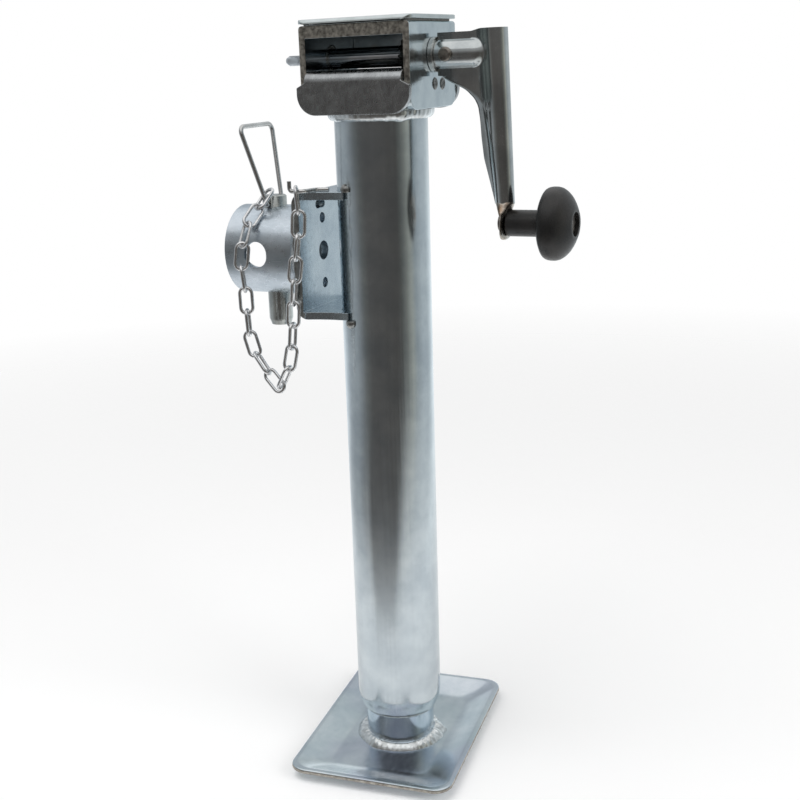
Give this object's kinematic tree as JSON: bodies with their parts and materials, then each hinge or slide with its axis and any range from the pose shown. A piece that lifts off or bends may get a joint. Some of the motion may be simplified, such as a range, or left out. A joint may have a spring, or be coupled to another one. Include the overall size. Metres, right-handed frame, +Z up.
{
  "type": "side-wind prop stand",
  "caption": "Upright tubular prop stand with a crank-driven telescoping ram, a rectangular foot and a side socket held by a chained lock pin.",
  "frame": {"origin": "middle of the foot's flat underside, on the axis of the tubes", "axes": "+Z up along the tubes, +X outwards along the crank shaft, -Y the side with the open front of the gear head"},
  "size_m": [0.2241, 0.1662, 0.48],
  "materials": {
    "bright_zinc": "bright zinc plating, slightly blue, drawn along the tube",
    "dark_zinc": "zinc plating with a rubbed, darker look",
    "weld_metal": "plated weld bead",
    "ram_steel": "plated tube, turned smooth",
    "nut_bronze": "machined",
    "bush_bronze": "sintered, oiled",
    "bush_plastic": "plain",
    "gasket": "plain",
    "hardware_steel": "plain plated",
    "gear_steel": "machined, greased",
    "bearing_steel": "ground",
    "polished_steel": "bright plating",
    "knob_black": "black moulding, low sheen",
    "pin_zinc": "plated, slightly yellow",
    "wire_zinc": "plated wire",
    "chain_zinc": "bright plated links"
  },
  "bodies": {
    "stand": {"outer_tube": "bright_zinc", "gear_housing": "bright_zinc", "saddle_plate": "dark_zinc", "top_cover": "dark_zinc", "cover_pad": "gasket", "cover_screws": "hardware_steel", "head_weld": "weld_metal", "right_bush": "bush_bronze", "left_bush": "bush_bronze", "bearing_plate": "gear_steel", "upper_race": "bearing_steel", "guide_bush": "bush_plastic", "swivel_bracket": "bright_zinc", "bracket_welds": "weld_metal", "mount_socket": "bright_zinc", "socket_bead": "weld_metal", "chain_hook": "wire_zinc", "chain_loop": "chain_zinc", "chain_fall": "chain_zinc"},
    "crank": {"crank_shaft": "polished_steel", "drive_pinion": "gear_steel", "pinion_pin": "hardware_steel", "crank_arm_front": "polished_steel", "crank_arm_rear": "polished_steel", "crank_rivet": "hardware_steel", "arm_eye": "polished_steel", "knob_spindle": "hardware_steel", "right_washer": "hardware_steel", "left_washer": "hardware_steel", "shaft_cotter": "hardware_steel"},
    "knob": {"knob_grip": "knob_black"},
    "screw": {"lead_screw": "gear_steel", "driven_gear": "gear_steel", "gear_pin": "hardware_steel", "bearing_balls": "bearing_steel", "lower_race": "bearing_steel"},
    "ram": {"inner_tube": "ram_steel", "screw_nut": "nut_bronze", "foot_plate": "bright_zinc", "foot_weld": "weld_metal"},
    "lock_pin": {"lock_pin": "pin_zinc"},
    "bail": {"pin_bail": "wire_zinc"}
  },
  "joints": [
    {"name": "crank_turn", "type": "hinge", "parent": "stand", "child": "crank", "pos_m": [0, 0, 0.4575], "axis": [-1, 0, 0], "range_deg": [0, 45000]},
    {"name": "screw_turn", "type": "hinge", "parent": "stand", "child": "screw", "pos_m": [0, 0, 0.4], "axis": [0, 0, 1], "range_deg": [-22500, 0]},
    {"name": "ram_slide", "type": "slide", "parent": "stand", "child": "ram", "axis": [0, 0, -1], "range_m": [0, 0.25]},
    {"name": "knob_spin", "type": "hinge", "parent": "crank", "child": "knob", "pos_m": [0.1, 0, 0.3605], "axis": [1, 0, 0], "continuous": true},
    {"name": "pin_pull", "type": "slide", "parent": "stand", "child": "lock_pin", "axis": [0, 0, 1], "range_m": [0, 0.076], "deforming": ["chain_fall"]},
    {"name": "bail_swing", "type": "hinge", "parent": "lock_pin", "child": "bail", "pos_m": [-0.0782, 0, 0.37009], "axis": [0, 1, 0], "range_deg": [-77, 48]}
  ],
  "couplings": [
    {"joint": "screw_turn", "follows": "crank_turn", "ratio": -0.5},
    {"joint": "ram_slide", "follows": "crank_turn", "m_per_rad": 0.0003183}
  ]
}
